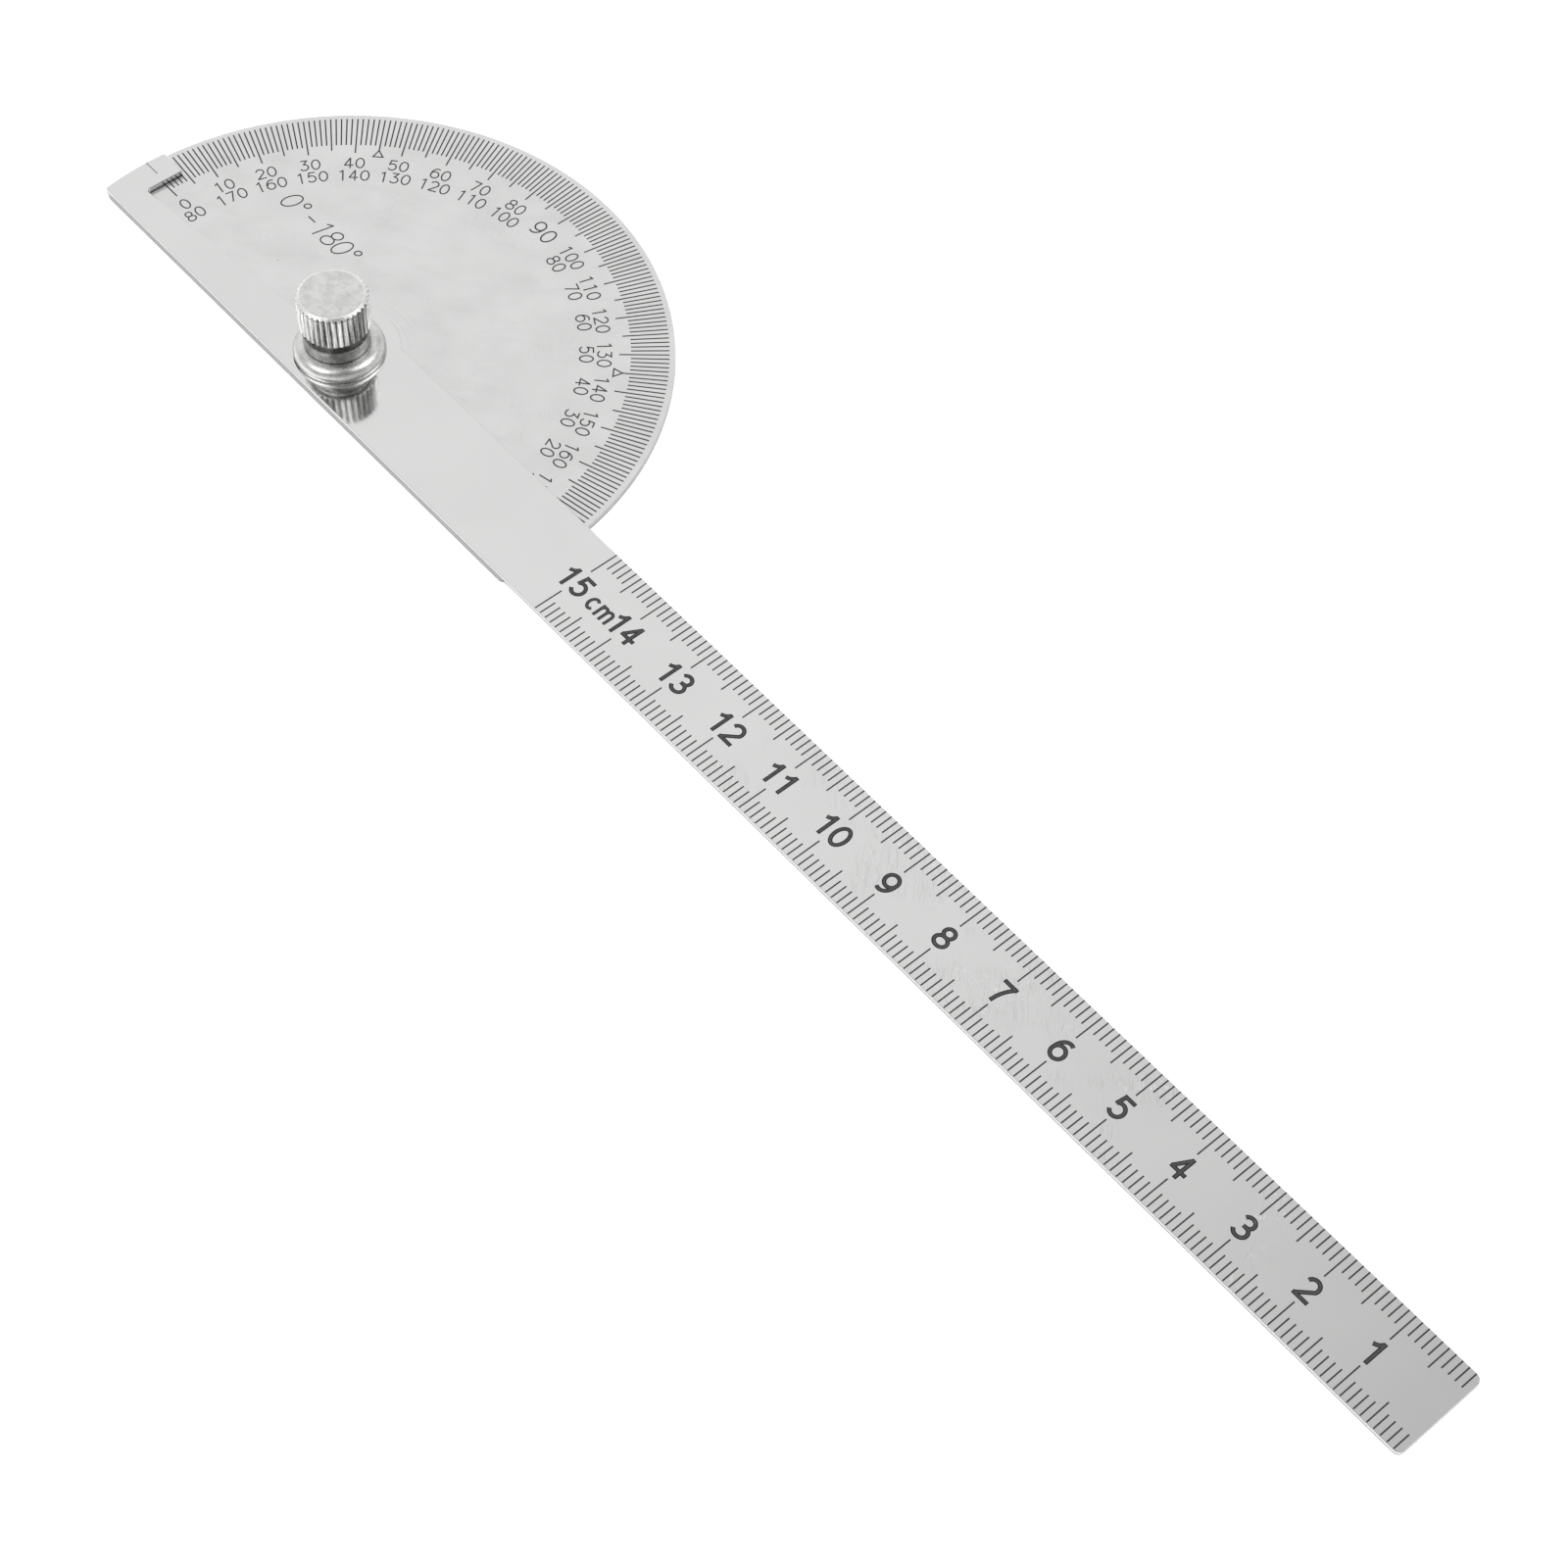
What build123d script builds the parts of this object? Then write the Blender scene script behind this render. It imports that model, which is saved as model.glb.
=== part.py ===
from build123d import *
import os

os.makedirs("parts", exist_ok=True)

# A bench protractor with a swinging steel rule. All sizes are in millimetres.
# The origin is on the pivot axis, at the underside of the semicircular head.
# +X runs along the rule towards its tip, +Y towards the 90 degree mark, +Z up.

# Stainless sheet and the running gap between faces that slide on each other
sheet = 0.8
gap = 0.02
edge_break = 0.08

# Semicircular head: a disc cut by a straight base edge below the pivot
head_radius = 45.6
base_y = -7.2
head_corner = 1.2

# Rule arm: graduated blade on one side of the pivot, tapered pointer on the other
blade_top_y = 6.5
tip_x = 201.6
tip_corner = 1.0
boss_radius = 8.5
boss_fillet = 1.5
taper_pivot_y = 0.7
notch_x = -40.85
notch_y = -3.0
notch_fillet = 0.5
pointer_radius = 45.4
pointer_top_y = 3.1
pointer_corner = 0.3

# Heights of the plates, one lying on the other
arm_z = sheet + gap
arm_top_z = arm_z + sheet

# Pivot stud: flush head let into the underside, square neck, round journal, thread
stud_head_radius = 4.0
stud_head_depth = 0.5
stud_square = 5.4
journal_radius = 2.5
journal_rise = 0.28
thread_radius = 2.0
stud_top_z = 8.6
stud_lead_in = 0.4
running_clearance = 0.05

# Curved spring washer: low along two opposite edges, high along its middle
washer_radius = 5.5
washer_bore = 3.8
washer_sheet = 0.2
washer_bend = 0.16
washer_turn = 75
washer_z = arm_top_z + gap

# Domed collar that hangs loosely on the nut's spigot, a cup over the spring washer.
# Two shallow arches in its skirt clear the raised sides of the washer.
collar_z = washer_z + washer_bend + washer_sheet + gap
skirt_z = arm_top_z + 0.08
skirt_inner_radius = 5.9
arch_radius = 4.0
arch_height = 0.28
collar_radius = 6.3
collar_land_radius = 4.7
collar_top_z = arm_top_z + 1.8
collar_rim_height = 0.25
collar_foot = 0.06
collar_dome_radius = 5.8
collar_dome_z = 2.95
collar_play = 0.3
collar_recess_radius = 4.0
collar_recess_depth = 0.46

# Knurled thumb nut: rolled spigot, neck, undercut and straight knurl
spigot_radius = 3.0
lip_radius = 3.62
lip_height = 0.3
lip_rise = 0.1
neck_radius = 4.55
neck_z = collar_top_z + gap
neck_top_z = arm_top_z + 3.7
undercut_radius = 3.9
knurl_z = arm_top_z + 5.15
knurl_bevel = 0.15
knurl_radius = 4.9
knurl_depth = 0.28
knurl_teeth = 36
knurl_cutter_offset = 0.12
square_corner_reach = 1.42
crown_radius = 4.42
crown_bevel_height = 0.32
nut_top_z = arm_top_z + 10.5
nut_bore_top_z = 9.6


def break_edges(plate):
    """Take the sharpness off the long edges of a sheet part's two faces."""
    faces = [plate.faces().sort_by(Axis.Z)[-1], plate.faces().sort_by(Axis.Z)[0]]
    edges = [face.outer_wire().edges() for face in faces]
    return chamfer(edges[0] + edges[1], edge_break)


def corner(sketch, x, y):
    """Pick the outline corner nearest to a place."""
    return min(sketch.vertices(), key=lambda v: (v.X - x) ** 2 + (v.Y - y) ** 2)


def protractor_head():
    """Semicircular plate with a seat for the stud's flush head and square neck."""
    below = 2 * head_radius
    outline = Circle(head_radius) - Pos(0, base_y - below / 2) * Rectangle(2 * below, below)
    ends = outline.vertices()
    outline = fillet(ends, head_corner)
    plate = break_edges(extrude(outline, sheet))
    seat = extrude(Circle(stud_head_radius), stud_head_depth)
    neck = extrude(Rectangle(stud_square, stud_square), sheet)
    return plate - seat - neck


def arm_outline():
    """Blade, round boss, tapered tail and pointer tab as one outline."""
    blade_width = blade_top_y - base_y
    blade = Pos(tip_x / 2, base_y + blade_width / 2) * Rectangle(tip_x, blade_width)
    boss_box = Rectangle(2 * boss_radius, 2 * boss_radius)
    boss = Circle(boss_radius) & Pos(0, base_y + boss_radius) * boss_box
    tail = make_face(
        Polyline((0, base_y), (0, taper_pivot_y), (notch_x, notch_y), (notch_x, base_y), (0, base_y))
    )
    tab_height = pointer_top_y - base_y
    tab_reach = pointer_radius + notch_x
    tab_box = Pos(notch_x - tab_reach / 2, base_y + tab_height / 2) * Rectangle(tab_reach, tab_height)
    tab = Circle(pointer_radius) & tab_box
    outline = blade + boss + tail + tab
    outline = fillet([corner(outline, tip_x, base_y), corner(outline, tip_x, blade_top_y)], tip_corner)
    boss_meets_blade_x = (boss_radius**2 - blade_top_y**2) ** 0.5
    outline = fillet(corner(outline, boss_meets_blade_x, blade_top_y), boss_fillet)
    outline = fillet(corner(outline, -boss_radius, 0), boss_fillet)
    outline = fillet(corner(outline, notch_x, notch_y), notch_fillet)
    tab_ends = [
        corner(outline, -pointer_radius, pointer_top_y),
        corner(outline, notch_x, pointer_top_y),
        corner(outline, -pointer_radius, base_y),
    ]
    return fillet(tab_ends, pointer_corner)


def rule_arm():
    """The arm lies on the head and turns on the stud's journal."""
    plate = break_edges(extrude(arm_outline(), sheet))
    bore = extrude(Circle(journal_radius + running_clearance), sheet)
    return Pos(0, 0, arm_z) * (plate - bore)


def pivot_stud():
    """Stud pressed into the head: it cannot turn, and the arm turns on it."""
    head = extrude(Circle(stud_head_radius), stud_head_depth)
    neck_height = sheet - stud_head_depth
    neck = Pos(0, 0, stud_head_depth) * extrude(Rectangle(stud_square, stud_square), neck_height)
    journal_height = arm_top_z + journal_rise - sheet
    journal = Pos(0, 0, sheet) * extrude(Circle(journal_radius), journal_height)
    shank = extrude(Circle(thread_radius), stud_top_z)
    shank = chamfer(shank.edges().sort_by(Axis.Z)[-1], stud_lead_in)
    return head + neck + journal + shank


def spring_washer():
    """Ring bent about one diameter, so that it springs against the collar."""
    bend_radius = (washer_radius**2 + washer_bend**2) / (2 * washer_bend)
    crest_z = washer_z + washer_bend
    across = Rot(0, 90, 0)
    length = 4 * washer_radius
    sheet_tube = Cylinder(bend_radius + washer_sheet, length) - Cylinder(bend_radius, length)
    bent_sheet = Pos(0, 0, crest_z - bend_radius) * across * sheet_tube
    ring = extrude(Circle(washer_radius) - Circle(washer_bore), collar_z)
    return Rot(0, 0, washer_turn) * (ring & bent_sheet)


def domed_collar():
    """Turned collar with a domed shoulder, hollow below for the washer and the nut's lip."""
    bore = spigot_radius + collar_play
    rim_z = skirt_z + collar_rim_height
    recess_z = collar_z + collar_recess_depth
    crown = (collar_dome_radius, collar_dome_z)
    dome = ThreePointArc((collar_land_radius, collar_top_z), crown, (collar_radius, rim_z))
    walls = Polyline(
        (collar_radius, rim_z),
        (collar_radius, skirt_z + collar_foot),
        (collar_radius - collar_foot, skirt_z),
        (skirt_inner_radius, skirt_z),
        (skirt_inner_radius, collar_z),
        (collar_recess_radius, collar_z),
        (collar_recess_radius, recess_z),
        (bore, recess_z),
        (bore, collar_top_z),
        (collar_land_radius, collar_top_z),
    )
    section = Plane.XZ * make_face(Curve() + [dome, walls])
    arch_z = skirt_z + arch_height - arch_radius
    along = Rot(0, 0, washer_turn) * Rot(0, 90, 0)
    arches = Pos(0, 0, arch_z) * along * Cylinder(arch_radius, 4 * collar_radius)
    return revolve(section, Axis.Z) - arches


def thumb_nut():
    """Blind nut: the spigot's end is rolled out under the collar to keep it on."""
    bore = thread_radius + running_clearance
    lip_z = collar_z + lip_rise
    lip_top_z = lip_z + lip_height
    profile = Polyline(
        (bore, lip_z),
        (lip_radius, lip_z),
        (lip_radius, lip_top_z),
        (spigot_radius, lip_top_z),
        (spigot_radius, neck_z),
        (neck_radius, neck_z),
        (neck_radius, neck_top_z),
        (undercut_radius, neck_top_z),
        (undercut_radius, knurl_z),
        (knurl_radius - knurl_bevel, knurl_z),
        (knurl_radius, knurl_z + knurl_bevel),
        (knurl_radius, nut_top_z - crown_bevel_height),
        (crown_radius, nut_top_z),
        (0, nut_top_z),
        (0, nut_bore_top_z),
        (bore, nut_bore_top_z),
        (bore, lip_z),
    )
    body = revolve(Plane.XZ * make_face(profile), Axis.Z)
    groove = Plane.XY.offset(knurl_z) * RegularPolygon(knurl_depth * square_corner_reach, 4)
    cutter = extrude(groove, nut_top_z - knurl_z)
    grooves = PolarLocations(knurl_radius + knurl_cutter_offset, knurl_teeth) * cutter
    return body - grooves


makers = {
    "protractor_head": protractor_head,
    "pivot_stud": pivot_stud,
    "rule_arm": rule_arm,
    "spring_washer": spring_washer,
    "domed_collar": domed_collar,
    "thumb_nut": thumb_nut,
}

for name, make in makers.items():
    shape = make()
    shape.label = name
    export_step(shape, f"parts/{name}.step")
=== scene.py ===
import math

import bmesh
import bpy
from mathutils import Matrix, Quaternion, Vector


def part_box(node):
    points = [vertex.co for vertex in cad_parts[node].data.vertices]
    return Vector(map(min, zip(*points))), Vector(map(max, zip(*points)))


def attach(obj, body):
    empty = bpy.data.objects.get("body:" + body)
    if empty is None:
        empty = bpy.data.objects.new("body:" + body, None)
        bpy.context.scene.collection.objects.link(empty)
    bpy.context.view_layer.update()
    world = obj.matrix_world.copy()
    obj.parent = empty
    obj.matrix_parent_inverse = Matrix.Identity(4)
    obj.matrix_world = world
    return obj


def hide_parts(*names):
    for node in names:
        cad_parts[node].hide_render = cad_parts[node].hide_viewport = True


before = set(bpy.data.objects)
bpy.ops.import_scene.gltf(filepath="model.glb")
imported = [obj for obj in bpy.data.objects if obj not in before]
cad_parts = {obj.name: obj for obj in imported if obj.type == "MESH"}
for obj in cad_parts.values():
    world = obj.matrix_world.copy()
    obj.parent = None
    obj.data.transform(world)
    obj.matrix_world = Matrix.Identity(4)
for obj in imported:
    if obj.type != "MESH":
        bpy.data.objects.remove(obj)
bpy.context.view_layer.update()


# ---------------------------------------------------------------------------------------------
# Protractor head: the semicircular plate, blanked from bright-rolled stainless sheet and
# deburred. Its face is slightly cloudy from handling, with fine scuffs and a few dark specks.
# ---------------------------------------------------------------------------------------------

mm = 0.001


class Socket:
    """An output of a node tree that arithmetic can be written on."""

    def __init__(self, tree, socket):
        self.tree = tree
        self.socket = socket

    def output(self, name):
        """Another output of the same node."""
        return Socket(self.tree, self.socket.node.outputs[name])

    def maths(self, operation, *values):
        return self.tree.add("ShaderNodeMath", {"operation": operation}, values)

    def __add__(self, other):
        return self.maths("ADD", self, other)

    def __sub__(self, other):
        return self.maths("SUBTRACT", self, other)

    def __rsub__(self, other):
        return self.maths("SUBTRACT", other, self)

    def __mul__(self, other):
        return self.maths("MULTIPLY", self, other)

    def __mod__(self, other):
        return self.maths("FLOORED_MODULO", self, other)

    def __abs__(self):
        return self.maths("ABSOLUTE", self)

    def __lt__(self, other):
        return self.maths("LESS_THAN", self, other)

    def __gt__(self, other):
        return self.maths("GREATER_THAN", self, other)

    __radd__ = __add__
    __rmul__ = __mul__

    def ramp(self, low, high):
        """0 below low, 1 above high, smooth between; low may be the higher one."""
        limits = {"Value": self, "From Min": low, "From Max": high}
        return self.tree.add("ShaderNodeMapRange", {"interpolation_type": "SMOOTHSTEP"}, limits)


class Tree:
    """A node tree filled by one call for each node."""

    def __init__(self, nodes):
        self.nodes = nodes
        nodes.nodes.clear()

    def add(self, kind, settings=None, inputs=(), output=0):
        """Make a node: its settings first, then the values or links of its sockets."""
        node = self.nodes.nodes.new(kind)
        for name, value in (settings or {}).items():
            setattr(node, name, value)
        pairs = inputs.items() if isinstance(inputs, dict) else enumerate(inputs)
        for name, value in pairs:
            if isinstance(value, Socket):
                self.nodes.links.new(value.socket, node.inputs[name])
            else:
                node.inputs[name].default_value = value
        outputs = node.outputs
        return Socket(self, outputs[output]) if len(outputs) else None


def finish(name, surface):
    """A material made by surface(tree, place), which gives the shader's inputs."""
    material = bpy.data.materials.new(name)
    material.use_nodes = True
    tree = Tree(material.node_tree)
    place = tree.add("ShaderNodeTexCoord", output="Object")
    shader = tree.add("ShaderNodeBsdfPrincipled", {}, surface(tree, place))
    tree.add("ShaderNodeOutputMaterial", {}, {"Surface": shader})
    return material


def blend(tree, share, low, high):
    """A colour between two colours, low where share is 0 and high where it is 1."""
    ends = {0: share, 6: (*low, 1), 7: (*high, 1)}
    return tree.add("ShaderNodeMix", {"data_type": "RGBA"}, ends, 2)


def metal(tree, colour, shade, roughness, height, depth):
    """Inputs for a metal: its colour dimmed by shade, and a bump of the given depth."""
    bump = tree.add("ShaderNodeBump", {}, {"Strength": 1.0, "Distance": depth, "Height": height})
    tinted = blend(tree, shade, (0, 0, 0), colour)
    return {"Base Color": tinted, "Metallic": 1.0, "Roughness": roughness, "Normal": bump}


def noise(tree, place, size, detail=3.0, turn=0.0, stretch=1.0):
    """Cloudy noise with features of the given size in metres, drawn out along one direction."""
    turned = {"Vector": place, "Rotation": (0, 0, math.radians(turn))}
    laid = tree.add("ShaderNodeMapping", {"vector_type": "TEXTURE"}, turned)
    scale = (1 / size / stretch, 1 / size, 1 / size)
    laid = tree.add("ShaderNodeMapping", {}, {"Vector": laid, "Scale": scale})
    return tree.add("ShaderNodeTexNoise", {}, {"Vector": laid, "Scale": 1.0, "Detail": detail})


def scratches(tree, place, turn, size, share, fineness=0.012):
    """Thin lines in one direction, in patches: 1 on a line and 0 elsewhere."""
    drift = tree.add("ShaderNodeTexNoise", {}, {"Vector": place, "Scale": 1 / (2.5 * mm)}, "Color")
    shift = (1.6 * mm, 1.6 * mm, 0)
    wavy = tree.add("ShaderNodeVectorMath", {"operation": "MULTIPLY_ADD"}, [drift, shift, place])
    field = noise(tree, wavy, size, 1.0, turn, 16)
    line = 1 - abs(field - 0.5).ramp(0.0, fineness)
    patch = noise(tree, place, 26 * size, 2.0, turn + 40).ramp(1 - share, 1 - share + 0.12)
    return line * patch


def specks(tree, place, spacing, size, share):
    """Round spots about one spacing apart, of which only a share is kept."""
    cells = tree.add("ShaderNodeTexVoronoi", {}, {"Vector": place, "Scale": 1 / spacing})
    chance = tree.add("ShaderNodeSeparateColor", {}, {"Color": cells.output("Color")})
    return (cells < size / spacing) * (chance < share)


def cut_edge(tree, place, low, high, bright):
    """Where a sheet's punched edge is, and its painted shade: the wall is painted darker than the
    face, smooth above, and torn, dull and near-black below as painted shadow along the plate's
    lower edge.
    """
    z = tree.add("ShaderNodeSeparateXYZ", {}, [place], "Z")
    above = z.ramp(low + 0.01 * mm, low + 0.03 * mm)
    edge = above * (1 - z.ramp(high - 0.07 * mm, high - 0.04 * mm))
    torn = noise(tree, place, 0.12 * mm, 2.0)
    # The lower edge is painted near-black: partly the dull torn zone, partly painted shadow in the
    # gap under the plate and along its outline.
    torn_and_shadow_dark = 0.08
    smooth = z.ramp(low + 0.17 * mm, low + 0.32 * mm)
    return edge, torn_and_shadow_dark + (bright - torn_and_shadow_dark) * smooth + 0.1 * torn


def from_axis(tree, place):
    """Distance of a place from the pivot axis."""
    flat = tree.add("ShaderNodeVectorMath", {"operation": "MULTIPLY"}, [place, (1, 1, 0)])
    return tree.add("ShaderNodeVectorMath", {"operation": "LENGTH"}, [flat], "Value")


def rings(tree, radius, scale):
    """Uneven rings about the pivot axis, as turning or rubbing leaves them."""
    return tree.add("ShaderNodeTexNoise", {"noise_dimensions": "1D"}, {"W": radius, "Scale": scale})


def head_surface(tree, place):
    cloud = noise(tree, place, 7 * mm, 6.0)
    smear = noise(tree, place, 2.5 * mm, 5.0, 35, 2.5)
    grain = noise(tree, place, 0.25 * mm, 2.0)
    lines = scratches(tree, place, 20, 0.45 * mm, 0.5, 0.02)
    lines = lines + scratches(tree, place, -50, 0.4 * mm, 0.5, 0.02)
    radius = from_axis(tree, place)
    rubbed = rings(tree, radius, 2600.0)
    rubbed = rubbed.ramp(0.5, 0.62) * (1 - radius.ramp(9.5 * mm, 14 * mm)) * cloud.ramp(0.42, 0.6)
    spots = specks(tree, place, 5 * mm, 0.13 * mm, 0.3)
    # The head's walls are painted mid-grey as painted shade, darker than the arm's.
    edge, edge_shade = cut_edge(tree, place, head_low.z, head_high.z, 0.5)
    shade = 0.94 + 0.06 * cloud.ramp(0.3, 0.7) - 0.035 * smear.ramp(0.45, 0.7)
    shade = shade - 0.05 * lines - 0.05 * rubbed - 0.3 * spots
    shade = shade + edge * (edge_shade - shade)
    roughness = 0.15 + 0.1 * cloud.ramp(0.3, 0.8) + 0.05 * smear + 0.08 * lines + 0.15 * edge
    height = 0.5 * grain + 0.6 * smear - 0.5 * lines - spots
    return metal(tree, stainless_colour, shade, roughness, height, 0.004 * mm)


stainless_colour = (0.78, 0.78, 0.776)
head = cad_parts["protractor_head"]
head_low, head_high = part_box("protractor_head")
head_top = head_high.z
head.data.materials.clear()
head.data.materials.append(finish("head_stainless", head_surface))


# ---------------------------------------------------------------------------------------------
# Pivot stud: a turned steel stud pressed into the head from below. Its flush round end is
# faced on the lathe, so it carries fine rings about the pivot axis.
# ---------------------------------------------------------------------------------------------


def stud_surface(tree, place):
    faced = rings(tree, from_axis(tree, place), 9000.0)
    stain = noise(tree, place, 2 * mm, 3.0)
    shade = 0.82 + 0.12 * faced + 0.06 * stain
    return metal(tree, stud_colour, shade, 0.24 + 0.12 * stain, faced, 0.006 * mm)


stud_colour = (0.70, 0.70, 0.695)
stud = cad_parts["pivot_stud"]
stud.data.materials.clear()
stud.data.materials.append(finish("stud_steel", stud_surface))


# ---------------------------------------------------------------------------------------------
# Degree marks: 181 lines etched into the head and filled with dark paint, longer at every
# fifth and longest at every tenth degree. The fill stands a hair proud of the steel.
# ---------------------------------------------------------------------------------------------

fill_proud = 0.008 * mm
fill_deep = 0.012 * mm


def paint(name, colour):
    """Dark etch fill: matt, slightly uneven, worn thin in tiny spots."""

    def surface(tree, place):
        worn = noise(tree, place, 0.35 * mm, 4.0).ramp(0.55, 0.8)
        worn = worn + 0.35 * noise(tree, place, 2.5 * mm, 2.0)
        relief = {"Strength": 1.0, "Distance": 0.003 * mm, "Height": worn}
        bump = tree.add("ShaderNodeBump", {}, relief)
        tinted = blend(tree, worn, colour, tuple(2.2 * c for c in colour))
        return {
            "Base Color": tinted,
            "Roughness": 0.42 + 0.25 * worn,
            "Specular IOR Level": 0.25,
            "Normal": bump,
        }

    return finish(name, surface)


def geometry_tree(name, labels):
    """An empty geometry tree with named number inputs; gives the tree and its input sockets."""
    nodes = bpy.data.node_groups.new(name, "GeometryNodeTree")
    for label in labels:
        nodes.interface.new_socket(name=label, in_out="INPUT", socket_type="NodeSocketFloat")
    nodes.interface.new_socket(
        name="Geometry", in_out="OUTPUT", socket_type="NodeSocketGeometry"
    )
    tree = Tree(nodes)
    group = nodes.nodes.new("NodeGroupInput")
    return tree, {label: Socket(tree, group.outputs[label]) for label in labels}


def grown(name, tree, values):
    """Run a geometry tree on an empty mesh and keep what it makes as a plain mesh piece."""
    piece = bpy.data.objects.new(name, bpy.data.meshes.new(name))
    bpy.context.scene.collection.objects.link(piece)
    modifier = piece.modifiers.new("grown", "NODES")
    modifier.node_group = tree.nodes
    for item in tree.nodes.interface.items_tree:
        if item.in_out == "INPUT":
            modifier[item.identifier] = values[item.name]
    evaluated = piece.evaluated_get(bpy.context.evaluated_depsgraph_get())
    made = bpy.data.meshes.new_from_object(evaluated)
    piece.modifiers.clear()
    piece.data = made
    made.name = name
    return piece


def finish_marks(tree, places, turn, size, material):
    """Put a small bar at each place, turned and sized, and end the tree."""
    bar = tree.add("GeometryNodeMeshCube")
    inputs = {"Points": places, "Instance": bar, "Rotation": turn, "Scale": size}
    bars = tree.add("GeometryNodeInstanceOnPoints", {}, inputs)
    bars = tree.add("GeometryNodeRealizeInstances", {}, {"Geometry": bars})
    bars = tree.add("GeometryNodeSetMaterial", {}, {"Geometry": bars, "Material": material})
    tree.add("NodeGroupOutput", {}, {"Geometry": bars})


def every(index, count):
    """1 where a whole number is a multiple of count, and 0 elsewhere."""
    return (index % count) < 0.5


def mark_length(size, index):
    """Short, but longer at every fifth and longest at every tenth mark."""
    length = size["Short"] + (size["Middle"] - size["Short"]) * every(index, 5)
    return length + (size["Long"] - size["Middle"]) * every(index, 10)


mark_sizes = ("Short", "Middle", "Long", "Width", "Height", "Level")
degree_count = 181


def degree_marks(material):
    tree, size = geometry_tree("degree marks", ("Outer Radius", *mark_sizes))
    index = tree.add("GeometryNodeInputIndex")
    length = mark_length(size, index)
    angle = math.pi - index * math.radians(1)
    middle = size["Outer Radius"] - length * 0.5
    cosine = middle.maths("COSINE", angle)
    sine = middle.maths("SINE", angle)
    spot = tree.add("ShaderNodeCombineXYZ", {}, [middle * cosine, middle * sine, size["Level"]])
    points = tree.add("GeometryNodePoints", {}, {"Count": degree_count, "Position": spot})
    turn = tree.add("ShaderNodeCombineXYZ", {}, [0.0, 0.0, angle])
    scale = tree.add("ShaderNodeCombineXYZ", {}, [length, size["Width"], size["Height"]])
    finish_marks(tree, points, turn, scale, material)
    return tree


etch_fill = paint("etch_fill", (0.028, 0.028, 0.028))
fill_height = fill_proud + fill_deep
fill_level = (fill_proud - fill_deep) / 2
degree_lines = grown(
    "degree_marks",
    degree_marks(etch_fill),
    {
        "Outer Radius": 44.78 * mm,
        "Short": 5.25 * mm,
        "Middle": 6.3 * mm,
        "Long": 6.85 * mm,
        "Width": 0.2 * mm,
        "Height": fill_height,
        "Level": head_top + fill_level,
    },
)
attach(degree_lines, "head")


# ---------------------------------------------------------------------------------------------
# Degree figures: two rings of figures in a single-line engraver's hand, counting both ways,
# a larger 90, small triangles at 45 and 135, and a slanted legend of the range.
# ---------------------------------------------------------------------------------------------


def arc(x, y, rx, ry, start, end):
    """Points on an ellipse between two angles in degrees."""
    steps = max(3, round(abs(end - start) / 15))
    turns = [math.radians(start + (end - start) * i / steps) for i in range(steps + 1)]
    return [(x + rx * math.cos(t), y + ry * math.sin(t)) for t in turns]


# Each figure is one unit high. A stroke is its centre line; "=" marks one whose ends run on
# by half the stroke's width, as a stem or a bar does.
zero = [("", arc(0.31, 0.5, 0.31, 0.5, 0, 360))]
six = [("", arc(0.31, 0.33, 0.31, 0.33, 0, 360)), ("", arc(0.41, 0.42, 0.405, 0.56, 65, 190))]
nine = [(ends, [(0.62 - x, 1 - y) for x, y in line]) for ends, line in six]
eight = [("", arc(0.31, 0.76, 0.25, 0.24, 0, 360)), ("", arc(0.31, 0.265, 0.31, 0.265, 0, 360))]
two = [
    ("", arc(0.31, 0.70, 0.29, 0.30, 165, -25) + [(0.42, 0.42), (0.22, 0.22), (0.03, 0.02)]),
    ("=", [(0.02, 0.0), (0.60, 0.0)]),
]
four = [
    ("=", [(0.43, 1.0), (0.43, 0.0)]),
    ("", [(0.41, 1.0), (0.0, 0.27)]),
    ("=", [(0.02, 0.27), (0.62, 0.27)]),
]
five = [
    ("=", [(0.13, 1.0), (0.54, 1.0)]),
    ("", [(0.13, 1.0), (0.05, 0.50)]),
    ("", arc(0.29, 0.33, 0.31, 0.33, 140, -150)),
]
engraved = {
    "0": zero,
    "1": [("", [(0.14, 0.84), (0.38, 1.0)]), ("=", [(0.38, 1.0), (0.38, 0.0)])],
    "2": two,
    "3": [("", [(0.06, 1.0), (0.54, 1.0), (0.27, 0.62)] + arc(0.28, 0.31, 0.32, 0.31, 85, -150))],
    "4": four,
    "5": five,
    "6": six,
    "7": [("", [(0.02, 1.0), (0.6, 1.0), (0.22, 0.0)])],
    "8": eight,
    "9": nine,
    "-": [("", [(0.05, 0.5), (0.55, 0.5)])],
    "o": [("", arc(0.2, 0.85, 0.15, 0.15, 0, 360))],
}


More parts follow.
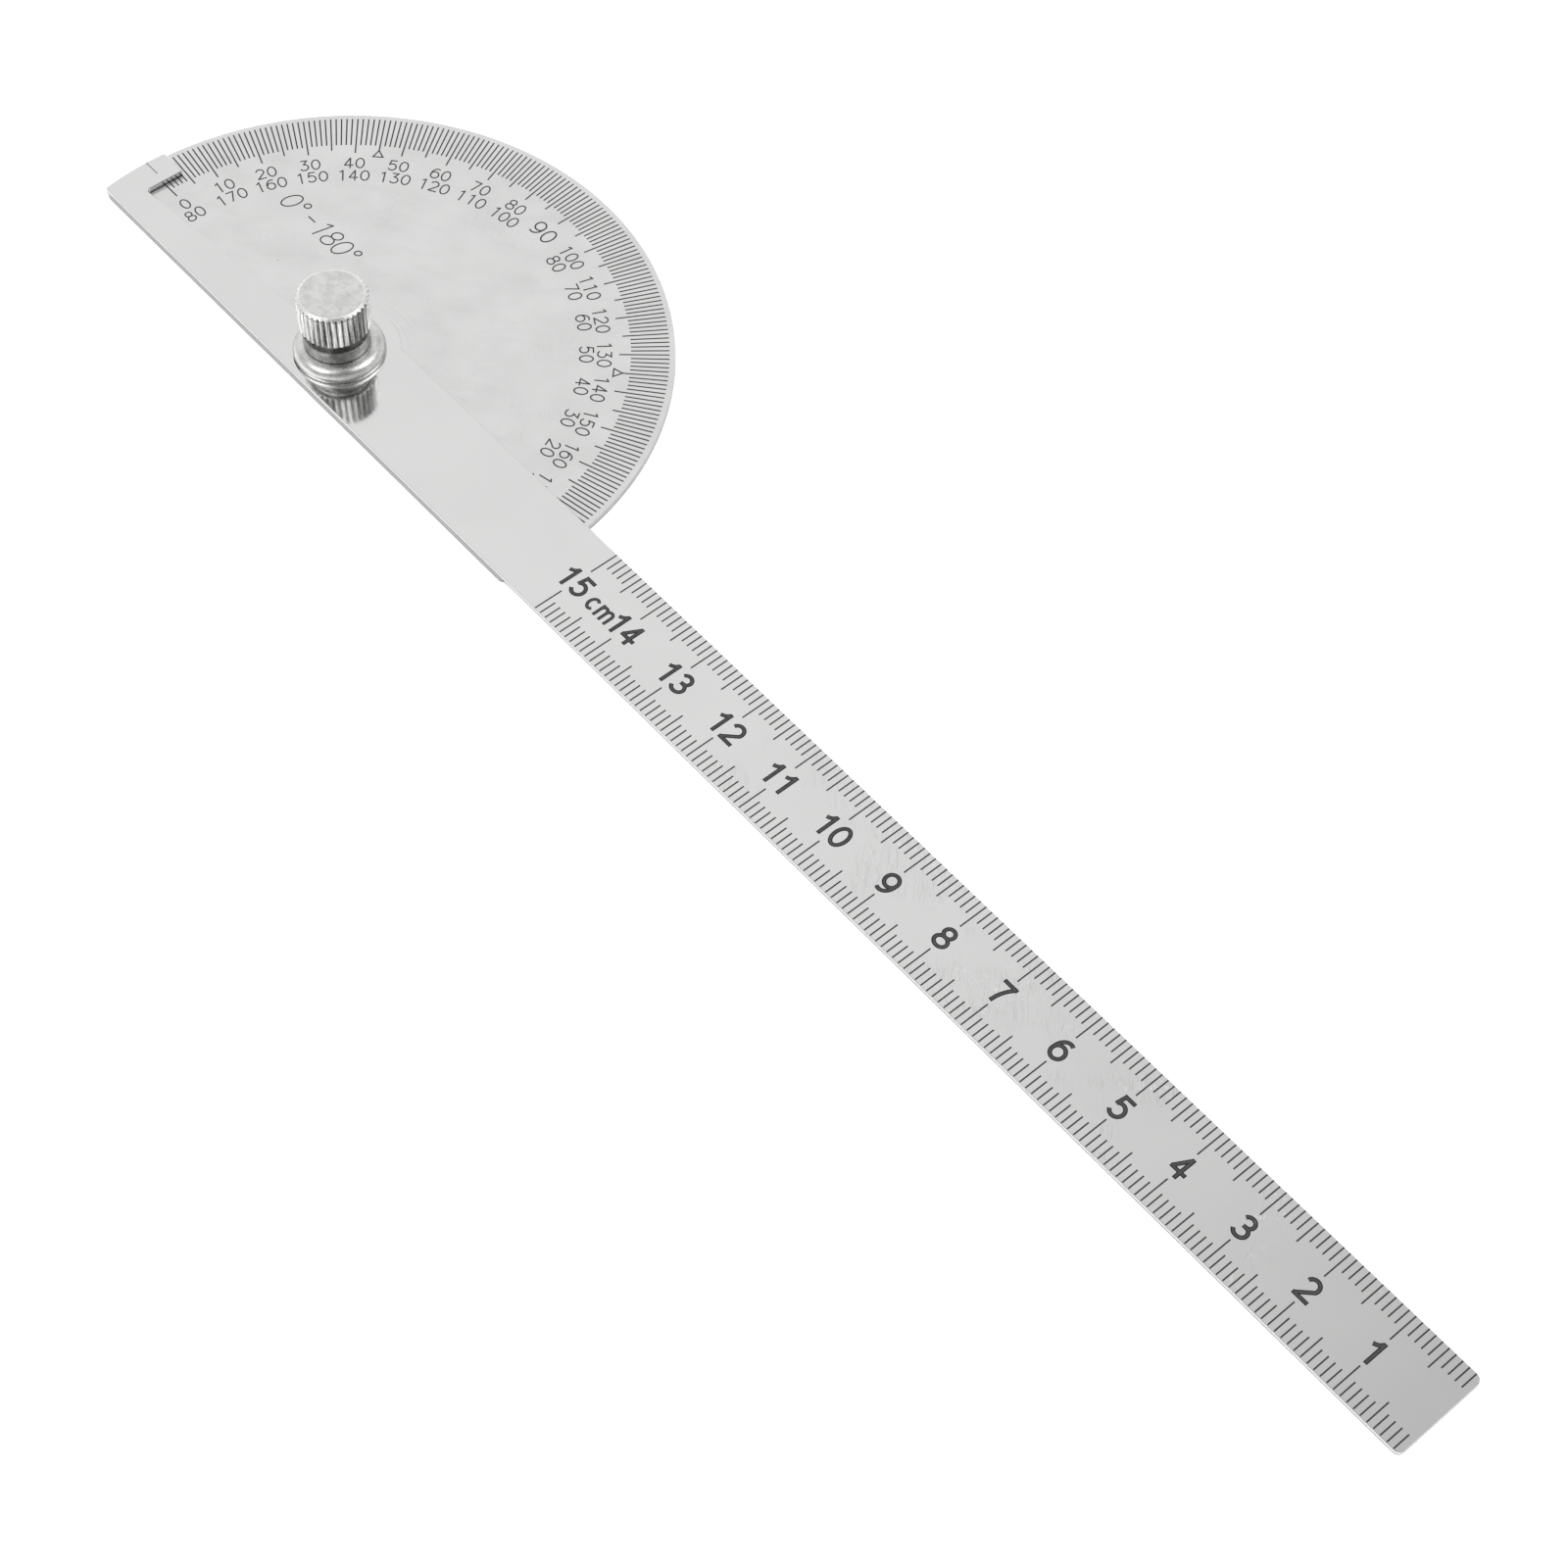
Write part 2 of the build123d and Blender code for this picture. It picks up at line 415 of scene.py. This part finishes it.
def stroke(mesh, line, width, low, high, ends):
    """Add one closed flat ribbon along a line, mitred at its corners."""
    line = [Vector(point) for point in line]
    closed = (line[0] - line[-1]).length < 1e-9
    if closed:
        line = line[:-1]
    elif ends == "=":
        line[0] = line[0] + (line[0] - line[1]).normalized() * width / 2
        line[-1] = line[-1] + (line[-1] - line[-2]).normalized() * width / 2
    count = len(line)
    rails = []
    for i, point in enumerate(line):
        before = line[i - 1] if closed or i else point
        after = line[(i + 1) % count] if closed or i < count - 1 else point
        into = (point - before).normalized() if point != before else (after - point).normalized()
        out = (after - point).normalized() if after != point else into
        side = Vector((-(into + out).y, (into + out).x)).normalized()
        reach = width / 2 / max(0.4, side.dot(Vector((-out.y, out.x))))
        left = point + side * reach
        right = point - side * reach
        rails.append([mesh.verts.new((*spot, z)) for z in (low, high) for spot in (left, right)])
    for i in range(count if closed else count - 1):
        a = rails[i]
        b = rails[(i + 1) % count]
        mesh.faces.new((a[2], a[3], b[3], b[2]))
        mesh.faces.new((a[0], b[0], b[1], a[1]))
        mesh.faces.new((a[0], a[2], b[2], b[0]))
        mesh.faces.new((a[1], b[1], b[3], a[3]))
    if not closed:
        a = rails[0]
        b = rails[-1]
        mesh.faces.new((a[0], a[1], a[3], a[2]))
        mesh.faces.new((b[0], b[2], b[3], b[1]))


stroke_lap = 0.001 * mm
cell_middle = 0.31


def write(mesh, hand, text, spot, height, width, level, pitch, slant=0.0):
    """Write figures; spot(s, u, v) gives the place of a point u, v from a cell's middle at s."""
    for i, figure in enumerate(text):
        cell = (i - (len(text) - 1) / 2) * pitch
        for step, (ends, line) in enumerate(hand[figure]):
            placed = []
            for x, y in line:
                across = ((x - cell_middle) + slant * (y - 0.5)) * height
                placed.append(spot(cell, across, (y - 0.5) * height))
            lap = step * stroke_lap
            stroke(mesh, placed, width, level - fill_deep - lap, level + fill_proud + lap, ends)


def piece_from(name, mesh, material, body):
    """Turn a finished bmesh into a piece that rides on a body."""
    bmesh.ops.recalc_face_normals(mesh, faces=mesh.faces)
    data = bpy.data.meshes.new(name)
    mesh.to_mesh(data)
    mesh.free()
    data.materials.append(material)
    piece = bpy.data.objects.new(name, data)
    bpy.context.scene.collection.objects.link(piece)
    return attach(piece, body)


def on_ring(radius, degrees):
    """Places figures on a ring, tops outward, middle at a mark."""

    def spot(s, u, v):
        angle = math.pi - math.radians(degrees) - s / radius
        out = Vector((math.cos(angle), math.sin(angle)))
        along = Vector((math.sin(angle), -math.cos(angle)))
        return out * (radius + v) + along * u

    return spot


figure_stroke = 0.2 * mm
figure_hand = (1.86 * mm, figure_stroke, head_top, 1.62 * mm)
ninety_hand = (2.48 * mm, 0.23 * mm, head_top, 2.2 * mm)
outer_ring = 35.95 * mm
inner_ring = 33.5 * mm
ninety_ring = 35.4 * mm
last_figure_shift = 1.4
figure_fill = paint("figure_fill", (0.035, 0.035, 0.035))
figures = bmesh.new()
for degrees in range(0, 181, 10):
    if degrees == 90:
        write(figures, engraved, "90", on_ring(ninety_ring, degrees), *ninety_hand)
        continue
    outer = on_ring(outer_ring, degrees)
    inner = on_ring(inner_ring, degrees - (last_figure_shift if degrees == 0 else 0.0))
    write(figures, engraved, str(degrees), outer, *figure_hand)
    write(figures, engraved, str(180 - degrees), inner, *figure_hand)
triangle_ring = 37.95 * mm
triangle_reach = 0.62 * mm
triangle_half = 0.72 * mm
triangle = [
    (0.0, triangle_reach),
    (triangle_half, -triangle_reach),
    (-triangle_half, -triangle_reach),
    (0.0, triangle_reach),
]
for degrees in (45, 135):
    ring = on_ring(triangle_ring, degrees)
    corners = [ring(0.0, u, v) for u, v in triangle]
    stroke(figures, corners, figure_stroke, head_top - fill_deep, head_top + fill_proud, "")
legend_middle = Vector((-20.0 * mm, 11.9 * mm))
legend_hand = (3.1 * mm, figure_stroke, head_top, 2.35 * mm)
legend_slant = 0.2


def on_legend(s, u, v):
    return legend_middle + Vector((s + u, v))


write(figures, engraved, "0o-180o", on_legend, *legend_hand, legend_slant)
piece_from("degree_figures", figures, figure_fill, "head")


# ---------------------------------------------------------------------------------------------
# Rule arm: one strip of the same stainless sheet, brighter than the head. The blade carries
# the millimetre scale, the boss turns on the stud, and the tail ends in the pointer tab.
# ---------------------------------------------------------------------------------------------


def arm_surface(tree, place):
    cloud = noise(tree, place, 14 * mm, 5.0)
    brushed = noise(tree, place, 0.12 * mm, 2.0, 0, 60)
    x = tree.add("ShaderNodeSeparateXYZ", {}, [place], "X")
    handled = x.ramp(60 * mm, 95 * mm) * (1 - x.ramp(165 * mm, 195 * mm))
    lines = 3.2 * scratches(tree, place, -46, 0.4 * mm, 0.5, 0.025) * handled
    fine = scratches(tree, place, 62, 0.3 * mm, 0.35, 0.01)
    fine = fine + scratches(tree, place, 8, 0.35 * mm, 0.35)
    lines = lines + 1.5 * fine
    spots = specks(tree, place, 7 * mm, 0.14 * mm, 0.35)
    # The arm's walls carry painted shade like the head's, and the tab's inner wall is painted
    # darker still as a painted reflection of the dark ticks beside it.
    tab_edge = abs(x - notch_x) < 0.1 * mm
    edge, edge_shade = cut_edge(tree, place, arm_low.z, arm_high.z, 0.78 - 0.22 * tab_edge)
    shade = 0.965 + 0.03 * cloud.ramp(0.3, 0.7) - 0.03 * lines - 0.3 * spots
    shade = shade + edge * (edge_shade - shade)
    roughness = 0.07 + 0.03 * cloud.ramp(0.35, 0.7) + 0.03 * handled + 0.04 * lines + 0.15 * edge
    height = 0.25 * brushed - 0.5 * lines - spots
    return metal(tree, stainless_colour, shade, roughness, height, 0.003 * mm)


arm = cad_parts["rule_arm"]
arm_low, arm_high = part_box("rule_arm")
notch_x = -40.85 * mm
arm_top = arm_high.z
arm.data.materials.clear()
arm.data.materials.append(finish("arm_stainless", arm_surface))


# ---------------------------------------------------------------------------------------------
# Rule marks: millimetre lines along both edges of the blade, counted from the tip to fifteen
# centimetres, etched and filled like the degree marks.
# ---------------------------------------------------------------------------------------------


rule_count = 150


def rule_marks(material):
    tree, size = geometry_tree("rule marks", ("Tip", "Edge", "Inward", *mark_sizes))
    index = tree.add("GeometryNodeInputIndex") + 1
    length = mark_length(size, index)
    x = size["Tip"] - index * mm
    y = size["Edge"] + size["Inward"] * length * 0.5
    spot = tree.add("ShaderNodeCombineXYZ", {}, [x, y, size["Level"]])
    points = tree.add("GeometryNodePoints", {}, {"Count": rule_count, "Position": spot})
    turn = tree.add("ShaderNodeCombineXYZ", {}, [0.0, 0.0, 0.0])
    scale = tree.add("ShaderNodeCombineXYZ", {}, [size["Width"], length, size["Height"]])
    finish_marks(tree, points, turn, scale, material)
    return tree


rule_fill = paint("rule_fill", (0.028, 0.028, 0.028))
rule_tree = rule_marks(rule_fill)
edge_inset = 0.1 * mm
blade_width = 13.7 * mm
blade_low = arm_low.y
blade_high = arm_low.y + blade_width
sides = (("lower", blade_low + edge_inset, 1.0), ("upper", blade_high - edge_inset, -1.0))
for name, edge, inward in sides:
    marks = grown(
        f"rule_marks_{name}",
        rule_tree,
        {
            "Tip": arm_high.x,
            "Edge": edge,
            "Inward": inward,
            "Short": 2.5 * mm,
            "Middle": 3.6 * mm,
            "Long": 4.35 * mm,
            "Width": 0.2 * mm,
            "Height": fill_height,
            "Level": arm_top + fill_level,
        },
    )
    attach(marks, "arm")


# ---------------------------------------------------------------------------------------------
# Rule figures: bold centimetre figures along the middle of the blade, the unit beside 15, and
# the thin index line on the pointer tab that reads the degree scale.
# ---------------------------------------------------------------------------------------------

bold = dict(engraved)
bold["1"] = [
    ("", [(-0.01, 0.745), (0.12, 0.79), (0.24, 0.87), (0.33, 1.0)]),
    ("=", [(0.36, 1.0), (0.36, 0.0)]),
]
bold["3"] = [
    ("", arc(0.29, 0.755, 0.265, 0.245, 160, -85)),
    ("", arc(0.30, 0.275, 0.31, 0.275, 85, -160)),
    ("", [(0.20, 0.52), (0.36, 0.53)]),
]
bold["7"] = [
    ("=", [(0.02, 1.0), (0.58, 1.0)]),
    ("=", [(0.57, 0.98), (0.42, 0.74), (0.30, 0.45), (0.24, 0.2), (0.22, 0.0)]),
]
bold["c"] = [("", arc(0.31, 0.5, 0.36, 0.5, 45, 315))]
bold["m"] = [
    ("=", [(-0.27, 1.0), (-0.27, 0.0)]),
    ("=", arc(0.02, 0.66, 0.29, 0.34, 165, 0) + [(0.31, 0.0)]),
    ("=", arc(0.60, 0.66, 0.29, 0.34, 165, 0) + [(0.89, 0.0)]),
]
bold_stroke = 0.56 * mm
bold_height = 2.96 * mm
blade_middle = blade_low + 6.78 * mm


def on_blade(middle):
    """Places figures upright on the blade, read with the tip to the right."""

    def spot(s, u, v):
        return Vector((middle + s + u, blade_middle + v))

    return spot


bold_pitch = 2.4 * mm
unit_height = 1.76 * mm
unit_stroke = 0.46 * mm
unit_pitch = 2.3 * mm
unit_drop = (bold_height - unit_height) / 2
unit_middle = arm_high.x - 144.65 * mm


def on_unit(s, u, v):
    return Vector((unit_middle + s + u, blade_middle - unit_drop + v))


def blade_figures(name, share, level, material):
    """All figures on the blade, drawn with a share of their full stroke width."""
    mesh = bmesh.new()
    for number in range(1, 16):
        place = on_blade(arm_high.x - number * 10 * mm)
        write(mesh, bold, str(number), place, bold_height, share * bold_stroke, level, bold_pitch)
    write(mesh, bold, "cm", on_unit, unit_height, share * unit_stroke, level, unit_pitch)
    piece_from(name, mesh, material, "arm")


core_rise = 0.006 * mm
bold_edge = paint("bold_edge", (0.010, 0.010, 0.010))
bold_core = paint("bold_core", (0.05, 0.05, 0.05))
blade_figures("rule_figures", 1.0, arm_top, bold_edge)
blade_figures("rule_figure_cores", 0.5, arm_top + core_rise, bold_core)

index_line = bmesh.new()
index_outer = 45.3 * mm
index_inner = 42.6 * mm
stroke(
    index_line,
    [(-index_outer, 0.0), (-index_inner, 0.0)],
    0.16 * mm,
    arm_top - fill_deep,
    arm_top + fill_proud,
    "",
)
piece_from("index_line", index_line, paint("index_fill", (0.16, 0.16, 0.16)), "arm")


# ---------------------------------------------------------------------------------------------
# Spring washer: a thin ring of spring steel, bent about one diameter. Its low edges press on
# the arm and its crest carries the collar, which hides all but its shadow.
# ---------------------------------------------------------------------------------------------


def washer_surface(tree, place):
    rolled = noise(tree, place, 0.15 * mm, 2.0, 59, 20)
    stain = noise(tree, place, 2 * mm, 3.0)
    shade = 0.85 + 0.15 * rolled
    return metal(tree, spring_colour, shade, 0.25 + 0.1 * stain, rolled, 0.003 * mm)


spring_colour = (0.62, 0.62, 0.615)
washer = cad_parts["spring_washer"]
washer.data.materials.clear()
washer.data.materials.append(finish("washer_steel", washer_surface))


# ---------------------------------------------------------------------------------------------
# Domed collar: turned brass, nickel plated and grainy, with a convex shoulder down to a thin
# rim. It swivels on the nut's spigot and spreads the clamping force over the washer.
# ---------------------------------------------------------------------------------------------

nickel_colour = (0.86, 0.857, 0.848)


def collar_surface(tree, place):
    grain = noise(tree, place, 0.16 * mm, 3.0)
    cloud = noise(tree, place, 1.2 * mm, 4.0)
    shade = 0.64 + 0.18 * cloud.ramp(0.3, 0.7) + 0.1 * grain.ramp(0.35, 0.65)
    roughness = 0.2 + 0.08 * cloud + 0.08 * grain
    return metal(tree, nickel_colour, shade, roughness, grain + 0.8 * cloud, 0.022 * mm)


def turned(name, profile, segments, material, body, radius_at=None, centre=(0, 0), dent=None):
    """Spin a closed profile of (radius, height) about the pivot axis into a closed mesh."""
    mesh = bmesh.new()
    rings = []
    for radius, z in profile:
        if radius == 0:
            rings.append([mesh.verts.new((*centre, z))])
            continue
        ring = []
        for i in range(segments):
            angle = 2 * math.pi * i / segments
            reach = radius_at(radius, z, i) if radius_at else radius
            x = centre[0] + reach * math.cos(angle)
            y = centre[1] + reach * math.sin(angle)
            ring.append(mesh.verts.new((x, y, z)))
        rings.append(ring)
    for a, b in zip(rings, rings[1:] + rings[:1]):
        if len(a) == 1 and len(b) == 1:
            continue
        for i in range(segments):
            j = (i + 1) % segments
            if len(a) == 1:
                mesh.faces.new((a[0], b[i], b[j]))
            elif len(b) == 1:
                mesh.faces.new((a[i], a[j], b[0]))
            else:
                mesh.faces.new((a[i], a[j], b[j], b[i]))
    for vertex in mesh.verts if dent else ():
        dent(vertex.co)
    for face in mesh.faces:
        face.smooth = True
    piece = piece_from(name, mesh, material, body)
    piece.data.set_sharp_from_angle(angle=math.radians(32))
    return piece


collar_low, collar_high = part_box("domed_collar")
collar_radius = collar_high.x
collar_land = 4.7 * mm
skirt = collar_low.z
rim_top = skirt + 0.25 * mm
rim_round = 0.06 * mm
skirt_inner = 5.9 * mm
seat = skirt + 0.32 * mm
collar_bore = 3.3 * mm
recess_radius = 4.0 * mm
recess_top = seat + 0.46 * mm
arch_azimuth = math.radians(255)
arch_radius = 4.0 * mm
arch_height = 0.4 * mm
dome_rise = collar_high.z - rim_top
dome_width = collar_radius - collar_land
dome_steps = 20
dome_fullness = 0.95
dome = []
for step in range(dome_steps):
    turn = step * math.pi / 2 / dome_steps
    dome_radius = collar_land + dome_width * math.sin(turn) ** dome_fullness
    dome.append((dome_radius, rim_top + dome_rise * math.cos(turn) ** dome_fullness))
collar_profile = [
    (collar_bore, recess_top),
    (collar_bore, collar_high.z),
    (collar_land - 0.05 * mm, collar_high.z),
    *dome,
    (collar_radius, rim_top),
    (collar_radius, skirt + rim_round),
    (collar_radius - 0.02 * mm, skirt + 0.02 * mm),
    (collar_radius - rim_round, skirt),
    (skirt_inner, skirt),
    (skirt_inner, seat),
    (recess_radius, seat),
    (recess_radius, recess_top),
]


def arched(vertex):
    """Lift the skirt's lower edge into the two shallow arches that clear the washer."""
    across = vertex.x * math.sin(arch_azimuth) - vertex.y * math.cos(arch_azimuth)
    if abs(across) < arch_radius and vertex.z < seat:
        arch = skirt + arch_height - arch_radius + math.sqrt(arch_radius**2 - across**2)
        vertex.z = max(vertex.z, min(arch, vertex.z + arch_height))


collar_nickel = finish("collar_nickel", collar_surface)
hang = (0.29 * mm, 0.03 * mm)
collar_segments = 216
collar = turned(
    "collar_turned",
    collar_profile,
    collar_segments,
    collar_nickel,
    "collar",
    centre=hang,
    dent=arched,
)
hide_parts("domed_collar")


# ---------------------------------------------------------------------------------------------
# Thumb nut: turned and straight-knurled brass, nickel plated. A plain neck and an undercut
# stand below the grip; the crown is faced flat with a thin bevel that cuts the knurl's ridges.
# Painted shade darkens the sides below the crown, the neck, the undercut, the seam at the
# collar, the knurl's grooves and the grip's top; painted highlights light the bevel and crown edge.
# ---------------------------------------------------------------------------------------------

nut_low, nut_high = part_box("thumb_nut")


def nut_surface(tree, place):
    radius = from_axis(tree, place)
    z = tree.add("ShaderNodeSeparateXYZ", {}, [place], "Z")
    crown = z.ramp(nut_high.z - 0.06 * mm, nut_high.z - 0.01 * mm)
    grain = noise(tree, place, 0.13 * mm, 3.0)
    cloud = noise(tree, place, 1.3 * mm, 5.0)
    pits = noise(tree, place, 0.45 * mm, 3.0).ramp(0.6, 0.72)
    upright = tree.add("ShaderNodeVectorMath", {"operation": "MULTIPLY"}, [place, (1, 1, 0.06)])
    streak = noise(tree, upright, 0.16 * mm, 2.0)
    # Painted highlight: a lighter ring round the crown's outer edge.
    ring = radius.ramp(4.22 * mm, 4.34 * mm)
    crown_shade = 0.77 + 0.13 * cloud.ramp(0.35, 0.65) - 0.2 * pits
    crown_shade = crown_shade - 0.06 * grain.ramp(0.5, 0.7) + 0.2 * ring
    # Painted shade in the knurl's grooves, darkened above the grip's foot.
    groove = 1 - radius.ramp(4.62 * mm, 4.82 * mm)
    groove = groove * z.ramp(grip_low + 0.02 * mm, grip_low + 0.1 * mm)
    grip = z.ramp(grip_low - 0.12 * mm, grip_low - 0.04 * mm)
    # Where the bevel is; it is given a painted highlight further down.
    bevel = (nut_high.z - z < crown_drop) * (radius < crest - 0.03 * mm)
    # Painted shade in the undercut under the grip.
    below = z.ramp(neck_top - 0.1 * mm, neck_top + 0.1 * mm)
    # Painted shade along the seam where the neck meets the collar.
    seam_painted_shade = 1 - z.ramp(neck_low + 0.06 * mm, neck_low + 0.16 * mm)
    # The neck is painted dark as painted shade, darker still in the undercut and at the seam.
    neck_shade = 0.25 - 0.04 * below - 0.3 * seam_painted_shade + 0.2 * cloud.ramp(0.3, 0.7) + 0.1 * grain
    # The knurled sides are painted darker than the crown as painted shade.
    grip_shade = 0.62 + 0.45 * (streak.ramp(0.3, 0.7) - 0.5)
    grip_shade = grip_shade + 0.26 * grain.ramp(0.4, 0.6) - 0.46 * groove
    # Painted shadow along the grip's top, under the bevel.
    grip_shade = grip_shade - 0.26 * z.ramp(nut_high.z - 0.8 * mm, nut_high.z - 0.45 * mm)
    grip_shade = grip_shade + bevel * (0.9 - grip_shade)
    side_shade = neck_shade + grip * (grip_shade - neck_shade)
    shade = side_shade + crown * (crown_shade - side_shade)
    roughness = 0.17 + 0.08 * cloud + 0.1 * grain
    height = (1 - 0.75 * crown) * grain + 0.5 * cloud - 0.6 * pits + 0.6 * streak * (1 - crown)
    return metal(tree, nickel_colour, shade, roughness, height, 0.03 * mm)


grip_low = nut_high.z - 5.35 * mm
neck_top = nut_high.z - 6.8 * mm
neck_low = collar_high.z + 0.02 * mm
crest = 4.9 * mm
crown_drop = 0.34 * mm
ridges = 36
steps_per_ridge = 8
ridge_depth = 0.3 * mm
crown_radius = 4.42 * mm
neck_radius = 4.55 * mm
undercut_radius = 3.9 * mm
spigot_radius = 3.0 * mm
lip_radius = 3.62 * mm
lip_top = nut_low.z + 0.3 * mm
bore_radius = 2.05 * mm
bore_top = 9.6 * mm
bevel_steps = 8


def knurled(radius, z, i):
    """The reach of the nut's skin: its turned profile, cut back by the knurl's grooves."""
    if radius < crown_radius or z < grip_low - 1e-7:
        return radius
    share = (i % steps_per_ridge) / steps_per_ridge
    height = 1 - abs(2 * share - 1)
    rounded = min(height * 1.12, 0.94 + 0.06 * height)
    return min(radius, crest - ridge_depth * (1 - rounded))


crown_step = (crest - crown_radius) / bevel_steps
bevel = []
for t in range(bevel_steps + 1):
    bevel.append((crest - crown_step * t, nut_high.z - crown_drop * (1 - t / bevel_steps)))
foot_height = 0.16 * mm
foot_width = 0.3 * mm
foot_steps = 4
foot = []
for t in range(foot_steps + 1):
    rise = t / foot_steps
    foot.append((crest - foot_width * (1 - rise), grip_low + foot_height * rise))
soft_edge = 0.1 * mm
nut_profile = [
    (bore_radius, nut_low.z),
    (lip_radius, nut_low.z),
    (lip_radius, lip_top),
    (spigot_radius, lip_top),
    (spigot_radius, neck_low),
    (neck_radius - soft_edge, neck_low),
    (neck_radius, neck_low + soft_edge),
    (neck_radius, neck_top - soft_edge),
    (neck_radius - soft_edge, neck_top),
    (undercut_radius, neck_top),
    (undercut_radius, grip_low - soft_edge),
    (undercut_radius + soft_edge, grip_low),
    *foot,
    *bevel,
    (crown_radius - 0.05 * mm, nut_high.z),
    (0, nut_high.z),
    (0, bore_top),
    (bore_radius, bore_top),
]
nut_nickel = finish("nut_nickel", nut_surface)
nut = turned("nut_knurled", nut_profile, ridges * steps_per_ridge, nut_nickel, "nut", knurled)
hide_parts("thumb_nut")


# ---------------------------------------------------------------------------------------------
# Table, light and camera: a white sweep under a broad soft sky that is brightest behind the
# head, a dim side towards the viewer, two high soft boxes and a paler horizon.
# ---------------------------------------------------------------------------------------------

floor_mesh = bmesh.new()
floor_size = 40.0
corners = [(-1, -1), (1, -1), (1, 1), (-1, 1)]
floor_mesh.faces.new(
    [floor_mesh.verts.new((x * floor_size, y * floor_size, 0.0)) for x, y in corners]
)
floor_data = bpy.data.meshes.new("table")
floor_mesh.to_mesh(floor_data)
floor_mesh.free()
floor = bpy.data.objects.new("table", floor_data)
bpy.context.scene.collection.objects.link(floor)
table_white = bpy.data.materials.new("table_white")
table_white.use_nodes = True
table_tree = Tree(table_white.node_tree)
table_surface = {
    "Base Color": (0.92, 0.92, 0.92, 1),
    "Roughness": 0.9,
    "Emission Color": (1, 1, 1, 1),
    "Emission Strength": 0.45,
    "Specular IOR Level": 0.1,
}
table_shader = table_tree.add("ShaderNodeBsdfPrincipled", {}, table_surface)
table_tree.add("ShaderNodeOutputMaterial", {}, {"Surface": table_shader})
floor_data.materials.append(table_white)


def bearing(azimuth, elevation):
    """A direction from the object, in degrees from +X and above the table."""
    a = math.radians(azimuth)
    e = math.radians(elevation)
    return Vector((math.cos(e) * math.cos(a), math.cos(e) * math.sin(a), math.sin(e)))


world = bpy.data.worlds.new("soft_sky")
bpy.context.scene.world = world
world.use_nodes = True
sky = Tree(world.node_tree)
look = sky.add("ShaderNodeTexCoord", output="Generated")


def towards(azimuth, elevation):
    """How nearly each place of the sky lies in a direction: 1 right there."""
    aim = bearing(azimuth, elevation)
    return sky.add("ShaderNodeVectorMath", {"operation": "DOT_PRODUCT"}, [look, aim], "Value")


back_light = 0.38 * towards(160, 40).ramp(0.71, 0.95)
dim_front = 0.27 * towards(-43, 40).ramp(0.3, 0.85)
side_boxes = towards(256, 56).ramp(0.92, 0.975) + towards(52, 58).ramp(0.92, 0.975)
horizon = 0.3 * (1 - towards(0, 90).ramp(0.3, 0.6))
strength = 0.535 + back_light - dim_front + 2.0 * side_boxes + horizon
shader = sky.add("ShaderNodeBackground", {}, {"Color": (1, 1, 1, 1), "Strength": strength})
sky.add("ShaderNodeOutputWorld", {}, {"Surface": shader})

lamp = bpy.data.lights.new("ceiling_box", "AREA")
lamp.size = 0.8
lamp.energy = 2.5
ceiling_box = bpy.data.objects.new("ceiling_box", lamp)
ceiling_box.location = (0.05, 0.0, 1.0)
ceiling_box.visible_camera = False
ceiling_box.visible_glossy = False
bpy.context.scene.collection.objects.link(ceiling_box)

camera_data = bpy.data.cameras.new("camera")
camera = bpy.data.objects.new("camera", camera_data)
bpy.context.scene.collection.objects.link(camera)
camera_place = Vector((0.2515, -0.1527, 0.3215))
camera_aim = Vector((0.0917, 0.0002, 0.0))
camera_roll = math.radians(3.28)
camera_data.sensor_width = 36.0
camera_data.lens = 72.4
camera_data.clip_start = 0.01
camera.location = camera_place
camera.rotation_mode = "QUATERNION"
level = (camera_aim - camera_place).to_track_quat("-Z", "Y")
camera.rotation_quaternion = level @ Quaternion((0, 0, 1), camera_roll)
bpy.context.scene.camera = camera
bpy.context.scene.view_settings.view_transform = "Standard"

bpy.context.view_layer.update()
